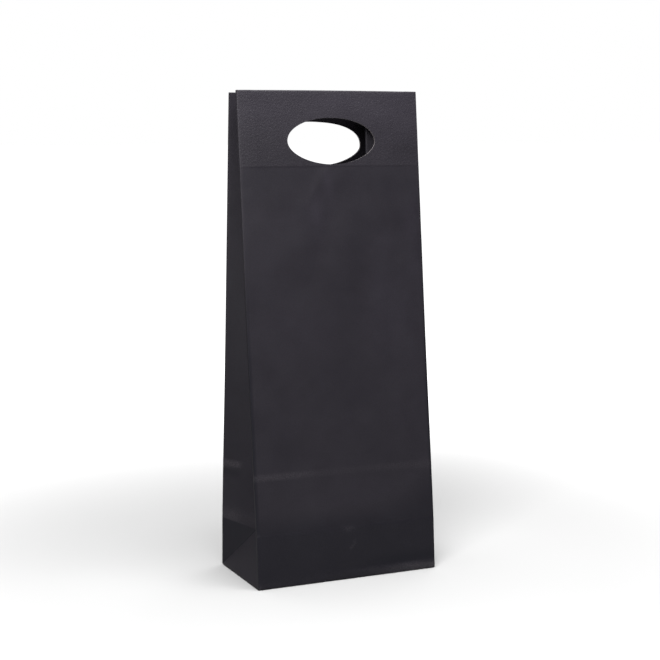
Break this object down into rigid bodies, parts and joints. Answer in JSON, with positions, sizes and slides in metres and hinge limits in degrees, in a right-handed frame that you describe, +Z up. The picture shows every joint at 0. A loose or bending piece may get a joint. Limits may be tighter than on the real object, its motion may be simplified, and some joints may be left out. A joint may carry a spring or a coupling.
{
  "type": "wine gift bag",
  "caption": "Block-bottom black paper wine gift bag with inward-folded side gussets and oval hand holes cut through reinforced top edges.",
  "frame": {"origin": "middle of the base's outline, on the surface that the bag stands on", "axes": "+Z up towards the mouth, +X to the right along the front panel's width, the front panel faces -Y"},
  "size_m": [0.16, 0.084, 0.3979],
  "materials": {
    "black_kraft_paper": "matt black printed kraft paper, faint grain",
    "handle_board": "plain unbleached board, cut edge",
    "base_card": "plain unbleached card"
  },
  "bodies": {
    "base": {"base_front_flap": "black_kraft_paper", "base_back_flap": "black_kraft_paper", "base_left_flap": "black_kraft_paper", "base_right_flap": "black_kraft_paper", "base_card": "base_card"},
    "front_panel": {"front_panel": "black_kraft_paper", "front_handle_board": "handle_board", "front_hem": "black_kraft_paper"},
    "back_panel": {"back_panel": "black_kraft_paper", "back_handle_board": "handle_board", "back_hem": "black_kraft_paper", "side_seam_lap": "black_kraft_paper"},
    "left_base_triangle": {"left_base_triangle": "black_kraft_paper"},
    "left_front_corner_facet": {"left_front_corner_facet": "black_kraft_paper"},
    "left_front_gusset": {"left_front_gusset": "black_kraft_paper"},
    "left_back_corner_facet": {"left_back_corner_facet": "black_kraft_paper"},
    "left_back_gusset": {"left_back_gusset": "black_kraft_paper"},
    "right_base_triangle": {"right_base_triangle": "black_kraft_paper"},
    "right_front_corner_facet": {"right_front_corner_facet": "black_kraft_paper"},
    "right_front_gusset": {"right_front_gusset": "black_kraft_paper"},
    "right_back_corner_facet": {"right_back_corner_facet": "black_kraft_paper"},
    "right_back_gusset": {"right_back_gusset": "black_kraft_paper"}
  },
  "joints": [
    {"name": "front_panel_tilt", "type": "hinge", "parent": "base", "child": "front_panel", "pos_m": [0, -0.042, 0], "axis": [1, 0, 0], "range_deg": [-0.5, 5.36]},
    {"name": "back_panel_tilt", "type": "hinge", "parent": "base", "child": "back_panel", "pos_m": [0, 0.042, 0], "axis": [-1, 0, 0], "range_deg": [-0.32, 3.28]},
    {"name": "left_base_triangle_fold", "type": "hinge", "parent": "base", "child": "left_base_triangle", "pos_m": [-0.08, 0, 0], "axis": [0, -1, 0], "range_deg": [-1.46, 15.5]},
    {"name": "left_front_corner_facet_fold", "type": "hinge", "parent": "front_panel", "child": "left_front_corner_facet", "pos_m": [-0.08, -0.03981, -0.00023], "axis": [0, 0.1028, 0.9947], "range_deg": [-1.54, 16.41]},
    {"name": "left_front_gusset_fold", "type": "hinge", "parent": "front_panel", "child": "left_front_gusset", "pos_m": [-0.08, -0.03981, -0.00023], "axis": [0, 0.1028, 0.9947], "range_deg": [-5.4, 57.79]},
    {"name": "left_back_corner_facet_fold", "type": "hinge", "parent": "back_panel", "child": "left_back_corner_facet", "pos_m": [-0.08, 0.0398, -0.00014], "axis": [0, 0.0628, -0.998], "range_deg": [-1.54, 16.41]},
    {"name": "left_back_gusset_fold", "type": "hinge", "parent": "back_panel", "child": "left_back_gusset", "pos_m": [-0.08, 0.0398, -0.00014], "axis": [0, 0.0628, -0.998], "range_deg": [-5.4, 57.79]},
    {"name": "right_base_triangle_fold", "type": "hinge", "parent": "base", "child": "right_base_triangle", "pos_m": [0.08, 0, 0], "axis": [0, 1, 0], "range_deg": [-1.46, 15.5]},
    {"name": "right_front_corner_facet_fold", "type": "hinge", "parent": "front_panel", "child": "right_front_corner_facet", "pos_m": [0.08, -0.03981, -0.00023], "axis": [0, -0.1028, -0.9947], "range_deg": [-1.54, 16.41]},
    {"name": "right_front_gusset_fold", "type": "hinge", "parent": "front_panel", "child": "right_front_gusset", "pos_m": [0.08, -0.03981, -0.00023], "axis": [0, -0.1028, -0.9947], "range_deg": [-5.4, 57.79]},
    {"name": "right_back_corner_facet_fold", "type": "hinge", "parent": "back_panel", "child": "right_back_corner_facet", "pos_m": [0.08, 0.0398, -0.00014], "axis": [0, -0.0628, 0.998], "range_deg": [-1.54, 16.41]},
    {"name": "right_back_gusset_fold", "type": "hinge", "parent": "back_panel", "child": "right_back_gusset", "pos_m": [0.08, 0.0398, -0.00014], "axis": [0, -0.0628, 0.998], "range_deg": [-5.4, 57.79]}
  ],
  "couplings": [
    {"joint": "back_panel_tilt", "follows": "front_panel_tilt", "ratio": 0.61},
    {"joint": "left_base_triangle_fold", "follows": "front_panel_tilt", "ratio": 2.89},
    {"joint": "left_front_corner_facet_fold", "follows": "front_panel_tilt", "ratio": 3.06},
    {"joint": "left_front_gusset_fold", "follows": "front_panel_tilt", "ratio": 10.78},
    {"joint": "left_back_corner_facet_fold", "follows": "front_panel_tilt", "ratio": 3.06},
    {"joint": "left_back_gusset_fold", "follows": "front_panel_tilt", "ratio": 10.78},
    {"joint": "right_base_triangle_fold", "follows": "front_panel_tilt", "ratio": 2.89},
    {"joint": "right_front_corner_facet_fold", "follows": "front_panel_tilt", "ratio": 3.06},
    {"joint": "right_front_gusset_fold", "follows": "front_panel_tilt", "ratio": 10.78},
    {"joint": "right_back_corner_facet_fold", "follows": "front_panel_tilt", "ratio": 3.06},
    {"joint": "right_back_gusset_fold", "follows": "front_panel_tilt", "ratio": 10.78}
  ]
}
